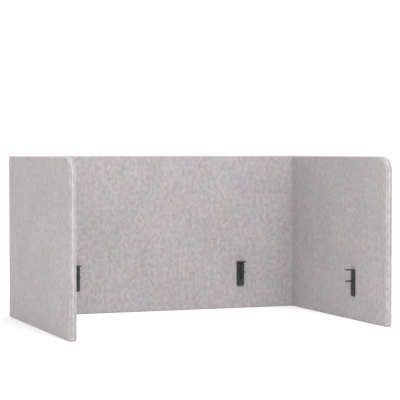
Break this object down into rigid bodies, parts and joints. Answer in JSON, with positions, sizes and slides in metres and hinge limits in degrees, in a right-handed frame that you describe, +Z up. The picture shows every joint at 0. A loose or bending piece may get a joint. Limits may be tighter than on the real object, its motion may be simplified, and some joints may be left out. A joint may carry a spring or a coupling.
{
  "type": "desk privacy panel",
  "caption": "Three-sided moulded felt desk screen with folding wings, hung from a desktop by black sliding-jaw clamps.",
  "frame": {"origin": "middle of the footprint on the plane that the lower edges stand on", "axes": "+X across the screen to the right wing as seen by the seated user, +Y to the back section, +Z up"},
  "size_m": [1.199, 0.827, 0.61],
  "materials": {
    "felt": "matte",
    "fold_felt": "matte",
    "black_steel": "matte",
    "black_screw": "satin",
    "black_rubber": "matte",
    "zinc_steel": "satin"
  },
  "bodies": {
    "back_section": {"back_inner_board": "felt", "back_outer_board": "felt", "left_fold_strip": "fold_felt", "right_fold_strip": "fold_felt", "back_left_clamp_upright": "black_steel", "back_left_clamp_upper_pad": "black_rubber", "back_left_clamp_lock_screws": "black_screw", "back_left_clamp_clinch_nuts": "zinc_steel", "back_left_clamp_mount_screws": "black_screw", "back_left_clamp_tee_nuts": "zinc_steel", "back_right_clamp_upright": "black_steel", "back_right_clamp_upper_pad": "black_rubber", "back_right_clamp_lock_screws": "black_screw", "back_right_clamp_clinch_nuts": "zinc_steel", "back_right_clamp_mount_screws": "black_screw", "back_right_clamp_tee_nuts": "zinc_steel"},
    "left_section": {"left_inner_board": "felt", "left_outer_board": "felt", "left_wing_clamp_upright": "black_steel", "left_wing_clamp_upper_pad": "black_rubber", "left_wing_clamp_lock_screws": "black_screw", "left_wing_clamp_clinch_nuts": "zinc_steel", "left_wing_clamp_mount_screws": "black_screw", "left_wing_clamp_tee_nuts": "zinc_steel"},
    "right_section": {"right_inner_board": "felt", "right_outer_board": "felt", "right_wing_clamp_upright": "black_steel", "right_wing_clamp_upper_pad": "black_rubber", "right_wing_clamp_lock_screws": "black_screw", "right_wing_clamp_clinch_nuts": "zinc_steel", "right_wing_clamp_mount_screws": "black_screw", "right_wing_clamp_tee_nuts": "zinc_steel"},
    "back_left_clamp_jaw_set": {"back_left_clamp_jaw": "black_steel", "back_left_clamp_jaw_pad": "black_rubber"},
    "back_right_clamp_jaw_set": {"back_right_clamp_jaw": "black_steel", "back_right_clamp_jaw_pad": "black_rubber"},
    "left_wing_clamp_jaw_set": {"left_wing_clamp_jaw": "black_steel", "left_wing_clamp_jaw_pad": "black_rubber"},
    "right_wing_clamp_jaw_set": {"right_wing_clamp_jaw": "black_steel", "right_wing_clamp_jaw_pad": "black_rubber"}
  },
  "joints": [
    {"name": "left_fold", "type": "hinge", "parent": "back_section", "child": "left_section", "pos_m": [-0.5963, 0.4103, 0.305], "axis": [0, 0, -1], "range_deg": [0, 90], "deforming": ["left_fold_strip"]},
    {"name": "right_fold", "type": "hinge", "parent": "back_section", "child": "right_section", "pos_m": [0.5963, 0.4103, 0.305], "axis": [0, 0, 1], "range_deg": [0, 90], "deforming": ["right_fold_strip"]},
    {"name": "back_left_clamp_jaw_slide", "type": "slide", "parent": "back_section", "child": "back_left_clamp_jaw_set", "axis": [0, 0, 1], "range_m": [0, 0.025]},
    {"name": "back_right_clamp_jaw_slide", "type": "slide", "parent": "back_section", "child": "back_right_clamp_jaw_set", "axis": [0, 0, 1], "range_m": [0, 0.025]},
    {"name": "left_wing_clamp_jaw_slide", "type": "slide", "parent": "left_section", "child": "left_wing_clamp_jaw_set", "axis": [0, 0, 1], "range_m": [0, 0.025]},
    {"name": "right_wing_clamp_jaw_slide", "type": "slide", "parent": "right_section", "child": "right_wing_clamp_jaw_set", "axis": [0, 0, 1], "range_m": [0, 0.025]}
  ]
}
